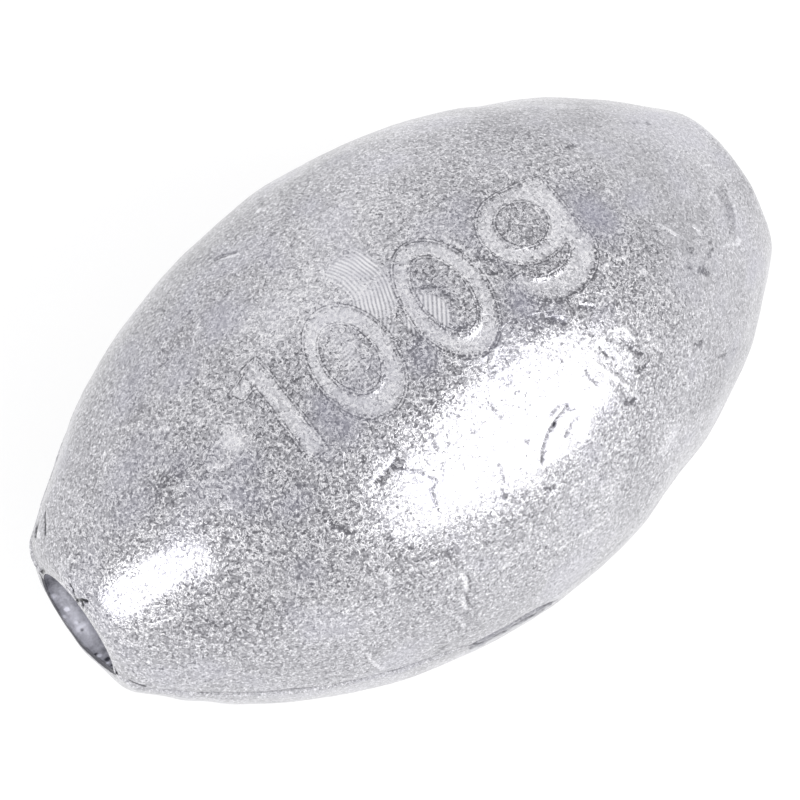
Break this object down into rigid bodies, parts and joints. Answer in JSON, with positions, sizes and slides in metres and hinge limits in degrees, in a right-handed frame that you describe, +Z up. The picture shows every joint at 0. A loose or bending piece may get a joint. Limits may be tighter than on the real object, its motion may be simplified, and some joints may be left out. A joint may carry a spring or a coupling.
{
  "type": "barrel fishing sinker",
  "caption": "Olive-shaped lead weight with a lengthwise bore, cast in one piece, that slides on a fishing line.",
  "frame": {"origin": "middle of the line bore, at the middle of the body", "axes": "+X along the bore, +Z up towards the marked side and square to the mould's parting plane"},
  "size_m": [0.036, 0.0228, 0.0226],
  "materials": {
    "cast_lead": null
  },
  "bodies": {
    "root": {"sinker_body": "cast_lead"}
  },
  "joints": []
}
